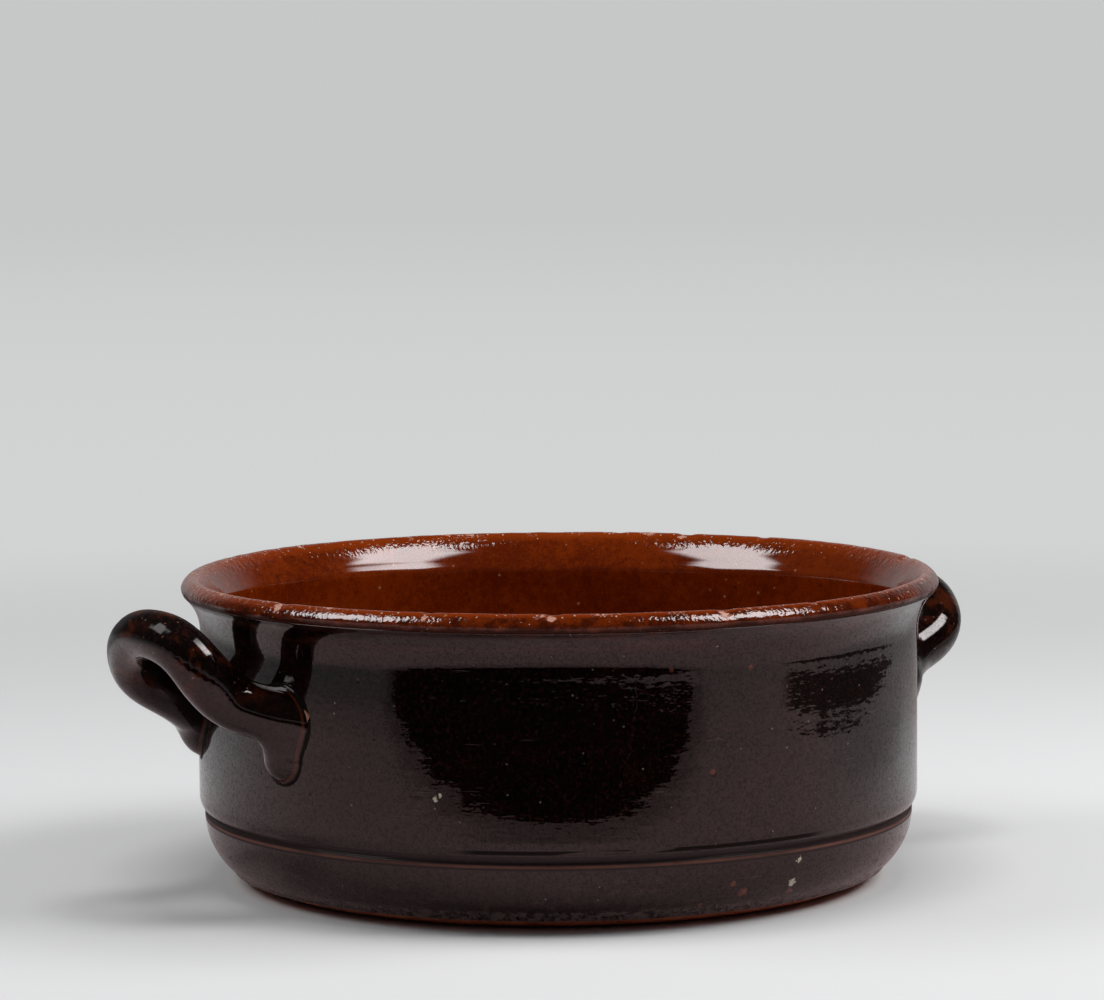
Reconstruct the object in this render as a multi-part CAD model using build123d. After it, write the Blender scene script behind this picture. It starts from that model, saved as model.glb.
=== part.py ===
"""Two-handled earthenware pot: a thrown clay bowl, two luted coil handles, slip joints and two glazes.

Millimetres, +Z up. The origin is the middle of the flat base, on the floor. The left handle stands out
along -X and the right one along +X. The front of the pot is -Y.
"""
import os
from math import asin, cos, degrees, radians, sin, tan

from build123d import *

# Thrown bowl, bare clay
RIM_R = 129.5            # outermost radius of the lip
LIP_TOP = 104.1          # height of the lip's crest above the floor
LIP_ROUND = 3.2          # radius of the lip's rounded edge
NECK_TURN = 60.0         # degrees the wall leans out under the lip
FLARE = 50.0             # degrees below level of the flared inside of the rim
LIP_OVERHANG = 6.9       # how far the lip stands out past the upright wall
WALL_T = 7.0             # thickness of the upright wall
FLOOR_T = 8.0            # thickness of the floor
INNER_ROUND = 20.0       # radius where the wall meets the floor inside
FOOT_SETBACK = 1.8       # how far the foot's top is set back from the wall
FOOT_ROUND = 23.8        # radius of the foot's quarter round, up to the turned groove
GROOVE_D = 0.8           # depth of the groove behind the foot
GROOVE_W = 0.6           # width of the groove
SHOULDER_H = 5.5         # height over which the wall rounds in to the groove

# Glaze coats
COAT = 0.5               # thickness of both glazes
HONEY_LAP = 5.3          # how far below the lip's crest the honey glaze meets the dark one outside
BARE_H = 4.0             # height of the bare band left at the foot

# Coil handles
COIL_R = 8.6             # radius of the clay coil
HANDLE_DROP = 41.4       # how far below the lip's crest a handle's two roots sit, on average
REACH = 37.5             # how far the coil's middle line stands out from its roots
SPREAD = 34.7            # half the distance between the two roots
RISE = 28.2              # how far the left loop climbs from its roots
ROOT_DEPTH = 9.0         # how far the coil is carried on into the wall before it is trimmed
TONGUE_R = 7.2           # radius at the end of the thumbed tongue of clay under each root
TONGUE_PROUD = 4.4       # how far the tongue's end stands out of the slip
TONGUE_DROP = 17.2       # how far below that height a tongue's lower edge is
SLIP = 0.8               # thickness of the luting slip between a root and the wall

# Right handle: lower and turned a little, as hand-made pairs are
RIGHT_TURN = 4.5         # degrees from straight opposite the left handle
RIGHT_RISE_SHARE = 0.77  # its climb as a share of the left one's
RIGHT_LIFT = 1.8         # how much higher its roots sit

# The loop's middle line from front root to back root: shares of REACH, SPREAD and RISE
ROUTE_SHARES = (
    (0.00, 1.00, 0.15),
    (0.40, 0.67, 0.35),
    (0.72, 0.58, 0.87),
    (1.00, 0.00, 1.00),
    (0.71, -0.57, 0.45),
    (0.40, -0.68, 0.20),
    (0.00, -1.00, -0.15),
)
SECTIONS = 15            # round sections that the coil is lofted through

WALL_R = RIM_R - LIP_OVERHANG
INNER_R = WALL_R - WALL_T
HONEY_EDGE = LIP_TOP - HONEY_LAP
HANDLE_Z = LIP_TOP - HANDLE_DROP
TONGUE_LOW = HANDLE_Z - TONGUE_DROP
NECK_ROUND = LIP_OVERHANG / (1 - cos(radians(NECK_TURN))) - LIP_ROUND
LIP_Z = LIP_TOP - LIP_ROUND
NECK_Z = LIP_Z - (NECK_ROUND + LIP_ROUND) * sin(radians(NECK_TURN))
FOOT_TOP_R = WALL_R - FOOT_SETBACK
FOOT_R = FOOT_TOP_R - FOOT_ROUND
ROOT_FACE_R = WALL_R + SLIP
ROOT_OUT = (WALL_R ** 2 - SPREAD ** 2) ** 0.5


def polar(centre, radius, angle):
    """Point at an angle in degrees on a circle in the (radius, height) plane."""
    return centre[0] + radius * cos(radians(angle)), centre[1] + radius * sin(radians(angle))


def arc(centre, radius, start, end):
    """Arc in the (radius, height) plane from one angle to another, in degrees."""
    middle = (start + end) / 2
    return ThreePointArc(*(polar(centre, radius, angle) for angle in (start, middle, end)))


def clay_outline():
    """Half section of the bare bowl, from the base up the outside, over the lip and down the inside."""
    groove_r = FOOT_TOP_R - GROOVE_D
    groove_z = FOOT_ROUND + GROOVE_W
    shoulder_z = groove_z + SHOULDER_H
    drop = WALL_R - groove_r
    shoulder_round = (drop ** 2 + SHOULDER_H ** 2) / (2 * drop)
    shoulder_turn = degrees(asin(SHOULDER_H / shoulder_round))
    neck_centre = (WALL_R + NECK_ROUND, NECK_Z)
    lip_centre = (RIM_R - LIP_ROUND, LIP_Z)
    crest_end = polar(lip_centre, LIP_ROUND, 90 + FLARE)
    break_z = crest_end[1] - (crest_end[0] - INNER_R) * tan(radians(FLARE))
    corner_centre = (INNER_R - INNER_ROUND, FLOOR_T + INNER_ROUND)
    edges = [
        Line((0, 0), (FOOT_R, 0)),
        arc((FOOT_R, FOOT_ROUND), FOOT_ROUND, -90, 0),
        Line((FOOT_TOP_R, FOOT_ROUND), (groove_r, groove_z)),
        arc((WALL_R - shoulder_round, shoulder_z), shoulder_round, -shoulder_turn, 0),
        Line((WALL_R, shoulder_z), (WALL_R, NECK_Z)),
        arc(neck_centre, NECK_ROUND, 180, 180 - NECK_TURN),
        arc(lip_centre, LIP_ROUND, -NECK_TURN, 90 + FLARE),
        Line(crest_end, (INNER_R, break_z)),
        Line((INNER_R, break_z), (INNER_R, FLOOR_T + INNER_ROUND)),
        arc(corner_centre, INNER_ROUND, 0, -90),
        Line((INNER_R - INNER_ROUND, FLOOR_T), (0, FLOOR_T)),
        Line((0, FLOOR_T), (0, 0)),
    ]
    return make_face(edges)


def mid_line():
    """Points within the clay, half way between the bowl's inside and outside, from the axis up to the lip."""
    bend = 45
    middle_r = INNER_R + WALL_T / 2
    inner = polar((INNER_R - INNER_ROUND, FLOOR_T + INNER_ROUND), INNER_ROUND, -bend)
    outer = polar((FOOT_R, FOOT_ROUND), FOOT_ROUND, -bend)
    corner = ((inner[0] + outer[0]) / 2, (inner[1] + outer[1]) / 2)
    low = [(0, FLOOR_T / 2), (FOOT_R, FLOOR_T / 2), corner, (middle_r, FOOT_ROUND)]
    return [*low, (middle_r, NECK_Z), (RIM_R - LIP_ROUND, HONEY_EDGE)]


def spun(section):
    """Solid turned about the pot's axis from a section drawn in the (radius, height) plane."""
    return revolve(Plane.XZ * section, Axis.Z)


def bowl_and_coats():
    """The bare bowl, its honey glaze inside and over the lip, and its dark glaze down to the bare foot."""
    clay = clay_outline()
    reach = RIM_R + RIM_R
    right_half = Pos(reach / 2, 0) * Rectangle(reach, reach * 2)
    coat = (offset(clay, COAT) & right_half) - clay
    outside = make_face(Polyline(*mid_line(), (reach, HONEY_EDGE), (reach, -reach), (0, -reach), close=True))
    glazed_height = Pos(reach / 2, BARE_H + reach / 2) * Rectangle(reach, reach)
    return spun(clay), spun(coat - outside), spun((coat & outside) & glazed_height)


def loop_points(rise):
    """The coil's middle line in the left handle's own place, carried on into the wall at both roots."""
    points = [
        Vector(-ROOT_OUT - out * REACH, -side * SPREAD, HANDLE_Z + up * rise)
        for out, side, up in ROUTE_SHARES
    ]
    first = points[0] + (points[0] - points[1]).normalized() * ROOT_DEPTH
    last = points[-1] + (points[-1] - points[-2]).normalized() * ROOT_DEPTH
    return [first, *points, last]


def coil(rise, grow):
    """Round coil lofted along the loop, its radius enlarged by grow."""
    path = Spline(*loop_points(rise))
    sections = []
    for index in range(SECTIONS):
        step = index / (SECTIONS - 1)
        along = path % step
        level = Vector(0, 0, 1).cross(along)
        sections.append(Plane(path @ step, x_dir=level, z_dir=along) * Circle(COIL_R + grow))
    return loft(sections)


def tongue(root, grow):
    """Tongue of clay smeared down the wall from a root: two balls joined by a taper, sunk in the wall."""
    outward = Vector(root.X, root.Y, 0).normalized()
    sunk = TONGUE_R - TONGUE_PROUD
    half_height = (TONGUE_R ** 2 - sunk ** 2) ** 0.5
    tip = outward * (ROOT_FACE_R - sunk) + Vector(0, 0, TONGUE_LOW + half_height)
    upward = root - tip
    standing = (Align.CENTER, Align.CENTER, Align.MIN)
    taper = Cone(TONGUE_R + grow, COIL_R + grow, upward.length, align=standing)
    top_ball = Pos(root.X, root.Y, root.Z) * Sphere(COIL_R + grow)
    tip_ball = Pos(tip.X, tip.Y, tip.Z) * Sphere(TONGUE_R + grow)
    return top_ball + Plane(tip, z_dir=upward) * taper + tip_ball


def handle_form(rise, grow):
    """Coil and both tongues of the left handle, not yet trimmed to the wall."""
    ends = loop_points(rise)
    return coil(rise, grow) + tongue(ends[1], grow) + tongue(ends[-2], grow)


def handle_pieces(rise):
    """Clay, glaze coat and two slips of one handle, and the coated form that cuts the wall's glaze."""
    core = Pos(0, 0, LIP_TOP / 2) * Cylinder(WALL_R, LIP_TOP + LIP_TOP)
    root_core = Pos(0, 0, LIP_TOP / 2) * Cylinder(ROOT_FACE_R, LIP_TOP + LIP_TOP)
    bare = handle_form(rise, 0)
    coated = handle_form(rise, COAT)
    clay = bare - root_core
    glaze = coated - bare - core
    slip = (bare & root_core) - core
    front, back = sorted(slip.solids(), key=lambda solid: solid.center().Y)
    return clay, glaze, front, back, coated


def main():
    """Builds every piece and writes one file for each."""
    bowl, honey, dark = bowl_and_coats()
    right_place = Pos(0, 0, RIGHT_LIFT) * Rot(0, 0, 180 + RIGHT_TURN)
    left = handle_pieces(RISE)
    right = [right_place * piece for piece in handle_pieces(RISE * RIGHT_RISE_SHARE)]
    pieces = {
        "clay_body": bowl,
        "inner_glaze": honey,
        "outer_glaze": dark - left[-1] - right[-1],
        "left_handle": left[0],
        "left_handle_glaze": left[1],
        "left_front_slip": left[2],
        "left_back_slip": left[3],
        "right_handle": right[0],
        "right_handle_glaze": right[1],
        "right_back_slip": right[2],
        "right_front_slip": right[3],
    }
    os.makedirs("parts", exist_ok=True)
    for node, shape in pieces.items():
        export_step(shape, f"parts/{node}.step")


main()
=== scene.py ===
"""Two-handled earthenware pot, honey-glazed inside and brown-black outside, on a pale studio floor.

Lengths in the tables are millimetres in the pot's own frame: +Z up, origin in the middle of the base, left
handle along -X, front -Y. Pixels are those of the 1104 x 1000 photograph.
"""

import bpy
import numpy as np
from mathutils import Matrix


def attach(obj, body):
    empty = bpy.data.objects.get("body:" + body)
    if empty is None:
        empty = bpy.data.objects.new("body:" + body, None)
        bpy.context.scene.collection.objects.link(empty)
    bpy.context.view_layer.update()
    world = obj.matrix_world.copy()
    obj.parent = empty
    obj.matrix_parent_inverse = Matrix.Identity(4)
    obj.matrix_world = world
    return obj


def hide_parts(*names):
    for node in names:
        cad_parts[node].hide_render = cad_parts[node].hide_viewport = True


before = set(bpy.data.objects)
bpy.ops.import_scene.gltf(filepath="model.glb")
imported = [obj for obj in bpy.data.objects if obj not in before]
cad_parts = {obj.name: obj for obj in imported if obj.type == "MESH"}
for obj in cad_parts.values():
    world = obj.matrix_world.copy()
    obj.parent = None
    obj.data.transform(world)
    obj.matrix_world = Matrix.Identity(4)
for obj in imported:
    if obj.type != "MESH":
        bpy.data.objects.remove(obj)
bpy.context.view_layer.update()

MM = 0.001
TURN = 2 * np.pi

# Sizes of the glazed surfaces, mm
COAT = 0.5
CORE_UNDER = 1.1
WALL_R = 123.1
FOOT_R, FOOT_ROUND = 97.0, 23.8
GROOVE_R, GROOVE_Z = 120.55, 24.35
SHOULDER_Z = 30.0
NECK_ROUND = 18.0
LIP_R, LIP_Z, LIP_ROUND, LIP_FLAT = 126.3, 100.9, 3.7, 1.35
HONEY_TURN = -34.6
FLARE, FLARE_FOOT = 44.0, 66.0
INNER_R, FLOOR_Z, INNER_ROUND = 116.6, 8.5, 19.5
BREAK_Z = 93.6
RIM_SHIFT = 1.05
NECK_TURN = np.degrees(np.arccos((NECK_ROUND + WALL_R - LIP_R) / (NECK_ROUND + LIP_ROUND)))
NECK_R, NECK_Z = WALL_R + NECK_ROUND, LIP_Z - (NECK_ROUND + LIP_ROUND) * np.sin(np.radians(NECK_TURN))

# Middle line of the left coil from its front root to its back root: outwards, frontwards, up
COIL_LINE = np.array([
    (117.5, 34.8, 66.8), (134.4, 27.4, 73.1), (147.2, 25.4, 87.9), (152.7, -4.8, 90.2),
    (143.2, -21.7, 75.1), (132.4, -23.6, 68.2), (117.6, -34.5, 58.6),
])
COIL_RADII = (8.68, 8.94, 8.13, 8.6, 8.8)
ROOT_Z = 62.7
ROOT_DEPTH = 16.0
TONGUE_LOW, TONGUE_R, TONGUE_SUNK = 45.2, 8.3, 2.4
KNOB_R, KNOB_SUNK = 8.9, 2.0
RIGHT_TURN, RIGHT_RISE, RIGHT_LIFT = 4.5, 0.77, 1.8

# The photograph's camera, and the row of pixels below which the foot is seen
FOCAL, IMAGE_W, IMAGE_H = 4500.0, 1104.0, 1000.0
DISTANCE, EYE_Z = 1532.0, 277.5
FOOT_ROW = 850
PITCH, ROLL, YAW, SIDE = np.radians((5.55, -0.5, 0.0503, 27.0))


def camera_axes():
    """Right, up and forward of the camera: level axes turned by yaw, then pitched down, then rolled."""
    level = np.array((np.sin(SIDE), np.cos(SIDE), 0.0))
    right = np.array((np.cos(SIDE), -np.sin(SIDE), 0.0))
    ahead = level * np.cos(YAW) - right * np.sin(YAW)
    right = right * np.cos(YAW) + level * np.sin(YAW)
    top = np.array((0.0, 0.0, 1.0))
    forward = ahead * np.cos(PITCH) - top * np.sin(PITCH)
    up = ahead * np.sin(PITCH) + top * np.cos(PITCH)
    return right * np.cos(ROLL) + up * np.sin(ROLL), up * np.cos(ROLL) - right * np.sin(ROLL), forward


EYE = np.array((-np.sin(SIDE) * DISTANCE, -np.cos(SIDE) * DISTANCE, EYE_Z))
CAMERA_AXES = camera_axes()


def stage_place(right, away, height):
    """Point in metres given to the right of the pot, away from the camera and above the floor, in metres."""
    level = np.array((np.sin(SIDE), np.cos(SIDE), 0.0))
    across = np.array((np.cos(SIDE), -np.sin(SIDE), 0.0))
    return across * right + level * away + np.array((0.0, 0.0, height))


def sight(pixel):
    """Unit direction from the camera through a pixel."""
    right, up, forward = CAMERA_AXES
    line = forward * FOCAL + right * (pixel[0] - IMAGE_W / 2) - up * (pixel[1] - IMAGE_H / 2)
    return line / np.linalg.norm(line)


def on_wall(pixel, radius=WALL_R):
    """Where the sight line through a pixel first meets an upright cylinder about the axis, in metres."""
    line = sight(pixel)
    a = line[0] ** 2 + line[1] ** 2
    b = EYE[0] * line[0] + EYE[1] * line[1]
    c = EYE[0] ** 2 + EYE[1] ** 2 - radius ** 2
    return (EYE + line * (-b - np.sqrt(max(b * b - a * c, 0.0))) / a) * MM


def on_outside(pixel):
    """Where the sight line through a pixel first meets the wall, or the rounded foot below it, in metres."""
    if pixel[1] < FOOT_ROW:
        spot = on_wall(pixel)
        return thrown(WALL_R, spot[2] / MM, np.arctan2(spot[1], spot[0])) * MM
    radius = FOOT_R + FOOT_ROUND
    for _ in range(6):
        spot = on_wall(pixel, radius)
        below = np.clip(FOOT_ROUND - spot[2] / MM, 0.0, FOOT_ROUND)
        radius = FOOT_R + np.sqrt((FOOT_ROUND + COAT) ** 2 - below ** 2)
    return spot


def on_level(pixel, height):
    """Where the sight line through a pixel meets a level plane, in metres."""
    line = sight(pixel)
    return (EYE + line * (height - EYE[2]) / line[2]) * MM


def arc(centre, radius, start, end, count):
    """Points of an arc in the (radius, height) plane, angles in degrees."""
    turn = np.radians(np.linspace(start, end, count))
    return np.stack((centre[0] + radius * np.cos(turn), centre[1] + radius * np.sin(turn)), axis=1)


def lip_round():
    """The lip's edge from the honey glaze's start to the flare: a circle, flattened up its outer face.

    There the cosine and the sine are raised to a power above one, which draws a circle in towards its chord.
    """
    turn = np.radians(np.linspace(HONEY_TURN, 90 + FLARE, 26))
    bend = np.where((turn > 0) & (turn < np.pi / 2), LIP_FLAT, 1.0)
    out, up = np.cos(turn), np.sin(turn)
    return np.stack((LIP_R + LIP_ROUND * np.sign(out) * np.abs(out) ** bend,
                     LIP_Z + LIP_ROUND * np.sign(up) * np.abs(up) ** bend), axis=1)


def run(start, end, count):
    """Evenly spaced points from start to end, without the two ends."""
    step = np.linspace(0, 1, count + 2)[1:-1, None]
    return np.array(start) * (1 - step) + np.array(end) * step


def bent(start, start_slope, end, end_slope, count):
    """Quadratic curve going down and inwards from start at one slope to end at another, in degrees."""
    leave, arrive = np.radians((start_slope, end_slope))
    system = np.array(((-np.cos(leave), -np.cos(arrive)), (-np.sin(leave), -np.sin(arrive))))
    along = np.linalg.solve(system, np.array(end) - np.array(start))
    corner = np.array(start) - along[0] * np.array((np.cos(leave), np.sin(leave)))
    step = np.linspace(0, 1, count)[:, None]
    return np.array(start) * (1 - step) ** 2 + corner * 2 * step * (1 - step) + np.array(end) * step ** 2


def ripple(seed, waves, *fields):
    """Smooth noise of about unit size: a sum of cosines with seeded phases over fields already scaled."""
    chance = np.random.default_rng(seed)
    total = 0.0
    for _ in range(waves):
        phase = chance.uniform(0, TURN)
        for field in fields:
            phase = phase + chance.normal() * field
        total = total + np.cos(phase)
    return total * np.sqrt(2 / waves)


def ring_noise(seed, turn, low, high):
    """Seamless noise round the pot: cosines of whole numbers of waves per turn."""
    chance = np.random.default_rng(seed)
    counts = np.arange(low, high + 1)
    phases = chance.uniform(0, TURN, len(counts))
    return np.cos(counts * turn[..., None] + phases).sum(axis=-1) * np.sqrt(2 / len(counts))


def thrown(radius, height, turn):
    """Point at (radius, height, turn), mm, with the rim a little off centre and out of round, as thrown."""
    top = np.clip((height - 62.0) / 40.0, 0, 1)
    top = top * top * (3 - 2 * top)
    across = turn + SIDE
    round_radius = radius - top * radius / 130.0 * (0.3 + 0.3 * np.cos(2 * across))
    lift = 0.2 * (height / 104.0) ** 3 * np.cos(3 * turn + 0.4)
    shift = RIM_SHIFT * top
    return np.stack((round_radius * np.cos(turn) + shift * np.cos(SIDE),
                     round_radius * np.sin(turn) - shift * np.sin(SIDE), height + lift), axis=-1)


def meshed(name, points, quads, fans):
    """Smooth-shaded object of points in mm with four-cornered and three-cornered faces."""
    corners = np.concatenate((quads.ravel(), fans.ravel()))
    starts = np.concatenate((np.arange(len(quads)) * 4, len(quads) * 4 + np.arange(len(fans)) * 3))
    mesh = bpy.data.meshes.new(name)
    mesh.vertices.add(len(points))
    mesh.vertices.foreach_set("co", (points * MM).ravel())
    mesh.loops.add(len(corners))
    mesh.loops.foreach_set("vertex_index", corners)
    mesh.polygons.add(len(starts))
    mesh.polygons.foreach_set("loop_start", starts)
    mesh.update(calc_edges=True)
    mesh.validate()
    mesh.polygons.foreach_set("use_smooth", np.ones(len(starts), dtype=bool))
    piece = bpy.data.objects.new(name, mesh)
    bpy.context.scene.collection.objects.link(piece)
    return piece


def skin(name, grid, loop):
    """Mesh of a grid (rows, columns, xyz in mm) closed round its columns.

    With loop the last row joins the first. Otherwise both end rows are closed by fans to their middles.
    Faces look along column direction x row direction.
    """
    rows, columns = grid.shape[:2]
    index = np.arange(rows * columns).reshape(rows, columns)
    ahead = np.roll(index, -1, axis=1)
    above, above_ahead = np.roll(index, -1, axis=0), np.roll(ahead, -1, axis=0)
    quads = np.stack((index, ahead, above_ahead, above), axis=-1)
    points = grid.reshape(-1, 3)
    fans = np.zeros((0, 3), dtype=int)
    if not loop:
        quads = quads[:-1]
        points = np.concatenate((points, grid[0].mean(axis=0)[None], grid[-1].mean(axis=0)[None]))
        low, high = np.full(columns, len(points) - 2), np.full(columns, len(points) - 1)
        fans = np.concatenate((
            np.stack((low, ahead[0], index[0]), axis=-1), np.stack((index[-1], ahead[-1], high), axis=-1)))
    return meshed(name, points, quads.reshape(-1, 4), fans)


def smooth_line(points, count):
    """Natural cubic spline through points on chord length, sampled evenly: solves for its second slopes."""
    steps = np.linalg.norm(np.diff(points, axis=0), axis=1)
    knots = np.concatenate(([0.0], np.cumsum(steps)))
    size = len(points)
    system, target = np.eye(size), np.zeros((size, points.shape[1]))
    for row in range(1, size - 1):
        before, after = steps[row - 1], steps[row]
        system[row, row - 1:row + 2] = before, 2 * (before + after), after
        target[row] = 6 * ((points[row + 1] - points[row]) / after - (points[row] - points[row - 1]) / before)
    bend = np.linalg.solve(system, target)
    at = np.linspace(0, knots[-1], count)
    span = np.clip(np.searchsorted(knots, at, side="right") - 1, 0, size - 2)
    gap = steps[span][:, None]
    near, far = (at - knots[span])[:, None], (knots[span + 1] - at)[:, None]
    curve = (bend[span] * far ** 3 + bend[span + 1] * near ** 3) / (6 * gap)
    leaving = (points[span] / gap - bend[span] * gap / 6) * far
    return curve + leaving + (points[span + 1] / gap - bend[span + 1] * gap / 6) * near


def coil_line(right_hand):
    """Knots of one coil's middle line in the pot's frame, front root of the left one first."""
    line = COIL_LINE.copy()
    side = -1.0
    lift = 0.0
    if right_hand:
        line[:, 2] = ROOT_Z + (line[:, 2] - ROOT_Z) * RIGHT_RISE
        side = 1.0
        lift = RIGHT_LIFT
    line = np.stack((side * line[:, 0], side * line[:, 1], line[:, 2] + lift), axis=1)
    turn = np.radians(RIGHT_TURN if right_hand else 0.0)
    spun = np.stack((line[:, 0] * np.cos(turn) - line[:, 1] * np.sin(turn),
                     line[:, 0] * np.sin(turn) + line[:, 1] * np.cos(turn), line[:, 2]), axis=1)
    return spun


def carried_on(line):
    """The middle line with both ends carried straight on into the wall."""
    first = line[0] + (line[0] - line[1]) / np.linalg.norm(line[0] - line[1]) * ROOT_DEPTH
    last = line[-1] + (line[-1] - line[-2]) / np.linalg.norm(line[-1] - line[-2]) * ROOT_DEPTH
    return np.concatenate((first[None], line, last[None]))


def coil(name, line, coat):
    """Clay core of a handle: a circle carried along the middle line, its ends kept within the wall."""
    rows, columns = 160, 40
    middle = smooth_line(carried_on(line), rows)
    along = np.gradient(middle, axis=0)
    along /= np.linalg.norm(along, axis=1)[:, None]
    level = np.cross((0.0, 0.0, 1.0), along)
    level /= np.linalg.norm(level, axis=1)[:, None]
    upright = np.cross(along, level)
    radius = np.interp(np.linspace(0, 1, rows), np.linspace(0.08, 0.92, len(COIL_RADII)), COIL_RADII) - coat
    turn = np.linspace(0, TURN, columns, endpoint=False)[None, :, None]
    round_about = np.cos(turn) * level[:, None] + np.sin(turn) * upright[:, None]
    grid = middle[:, None] + radius[:, None, None] * round_about
    reach = np.hypot(grid[..., 0], grid[..., 1])
    grid[..., :2] *= (np.maximum(reach, WALL_R - 4.0) / reach)[..., None]
    return skin(name, grid, loop=False)


def rod_distance(points, start, end, start_radius, end_radius):
    """Signed distance from points to a tapered round rod with ball ends."""
    rod = end - start
    share = np.clip(((points - start) @ rod) / (rod @ rod), 0, 1)
    nearest = start + share[..., None] * rod
    return np.linalg.norm(points - nearest, axis=-1) - (start_radius + (end_radius - start_radius) * share)


def nearest_rod(points, rods, far=14.0):
    """Least distance to any of the rods, or far where none is near."""
    best = np.full(points.shape[:-1], far)
    for rod in rods:
        low, high = np.minimum(rod[0], rod[1]) - far, np.maximum(rod[0], rod[1]) + far
        near = np.all((points > low) & (points < high), axis=-1)
        best[near] = np.minimum(best[near], rod_distance(points[near], *rod))
    return best


def rod_field(axes, rods, far=14.0):
    """The same on a box grid, each rod measured only in its own part of the box."""
    best = np.full([len(axis) for axis in axes], far)
    for rod in rods:
        low, high = np.minimum(rod[0], rod[1]) - far, np.maximum(rod[0], rod[1]) + far
        part = tuple(slice(*np.searchsorted(axis, ends)) for axis, ends in zip(axes, zip(low, high)))
        points = np.stack(np.meshgrid(*(axis[cut] for axis, cut in zip(axes, part)), indexing="ij"), axis=-1)
        best[part] = np.minimum(best[part], rod_distance(points, *rod))
    return best


def blended(a, b, width):
    """Smooth minimum of two distances: a fillet about a quarter of width deep."""
    share = np.clip(0.5 + 0.5 * (b - a) / width, 0, 1)
    return b * (1 - share) + a * share - width * share * (1 - share)


def handle_rods(line):
    """Rods along the coil, and the two knobs that its ends make where they are thumbed down the wall."""
    path = smooth_line(carried_on(line), 73)
    radii = np.interp(np.linspace(0, 1, 73), np.linspace(0.08, 0.92, len(COIL_RADII)), COIL_RADII)
    coil_rods = list(zip(path[:-1], path[1:], radii[:-1], radii[1:]))
    knobs = []
    for root in (line[0], line[-1]):
        out = root[:2] / np.linalg.norm(root[:2])
        top = np.array((*(out * (WALL_R - KNOB_SUNK)), root[2] - 0.6))
        tip_z = TONGUE_LOW + np.sqrt(TONGUE_R ** 2 - TONGUE_SUNK ** 2)
        tip = np.array((*(out * (WALL_R - TONGUE_SUNK)), tip_z))
        knobs.append((tip, top, TONGUE_R, KNOB_R))
    return coil_rods, knobs


def worked_in(points, coil_gap, knob_gap, seed):
    """Distance to a handle worked into the wall: smooth union of coil, knobs and wall, lumpy as hand-rolled.

    It keeps only what is within reach of the handle and not deep in the wall, so that the form is closed.
    """
    lumps = 0.13 * ripple(seed, 14, points[..., 0] / 7.0, points[..., 1] / 7.0, points[..., 2] / 7.0)
    body = blended(coil_gap, knob_gap, 5.0) - lumps
    reach = np.hypot(points[..., 0], points[..., 1])
    joined = blended(body, reach - (WALL_R - 0.03), 1.4)
    return np.maximum(np.maximum(joined, body - 2.5), WALL_R - 1.8 - reach)


def handle_distance(points, rods, seed):
    """Distance from any points to a handle."""
    return worked_in(points, nearest_rod(points, rods[0]), nearest_rod(points, rods[1]), seed)


def net(field, origin, cell):
    """Closed mesh where a field of distances on a box grid is nought.

    It has one point per crossed cell, the mean of that cell's edge crossings, and one quad per crossed edge.
    """
    inside = field < 0
    shape = tuple(size - 1 for size in field.shape)
    total, count = np.zeros((*shape, 3)), np.zeros(shape)
    crossings = []
    for axis in range(3):
        order = (axis, (axis + 1) % 3, (axis + 2) % 3)
        values, signs = field.transpose(order), inside.transpose(order)
        crossed = signs[:-1] != signs[1:]
        gap = np.where(crossed, values[:-1] - values[1:], 1.0)
        counts = [np.arange(size, dtype=float) for size in crossed.shape]
        place = np.stack(np.meshgrid(*counts, indexing="ij"), axis=-1)
        place[..., 0] += np.where(crossed, values[:-1] / gap, 0.0)
        back = np.argsort(order)
        for down in (0, 1):
            for over in (0, 1):
                rows, columns = crossed.shape[1] - 1, crossed.shape[2] - 1
                part = (slice(None), slice(down, rows + down), slice(over, columns + over))
                count += crossed[part].transpose(back)
                total += (place[part] * crossed[part][..., None])[..., back].transpose((*back, 3))
        crossings.append((order, np.argwhere(crossed[:, 1:-1, 1:-1]) + (0, 1, 1), signs))
    used = count > 0
    index = np.full(shape, -1)
    index[used] = np.arange(used.sum())
    points = origin + cell * total[used] / count[used][:, None]
    quads = []
    for order, edges, signs in crossings:
        cells = index.transpose(order)
        a, b, c = edges.T
        around = (cells[a, b - 1, c - 1], cells[a, b, c - 1], cells[a, b, c], cells[a, b - 1, c])
        quad = np.stack(around, axis=-1)
        quads.append(np.where(signs[a, b, c][:, None], quad, quad[:, ::-1]))
    return points, np.concatenate(quads)


def slope_of(points, rods, seed):
    """Gradient of the handle's distance by central differences."""
    step = 0.05
    sides = []
    for axis in np.eye(3) * step:
        sides.append(handle_distance(points + axis, rods, seed) - handle_distance(points - axis, rods, seed))
    return np.stack(sides, axis=-1) / (2 * step)


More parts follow.
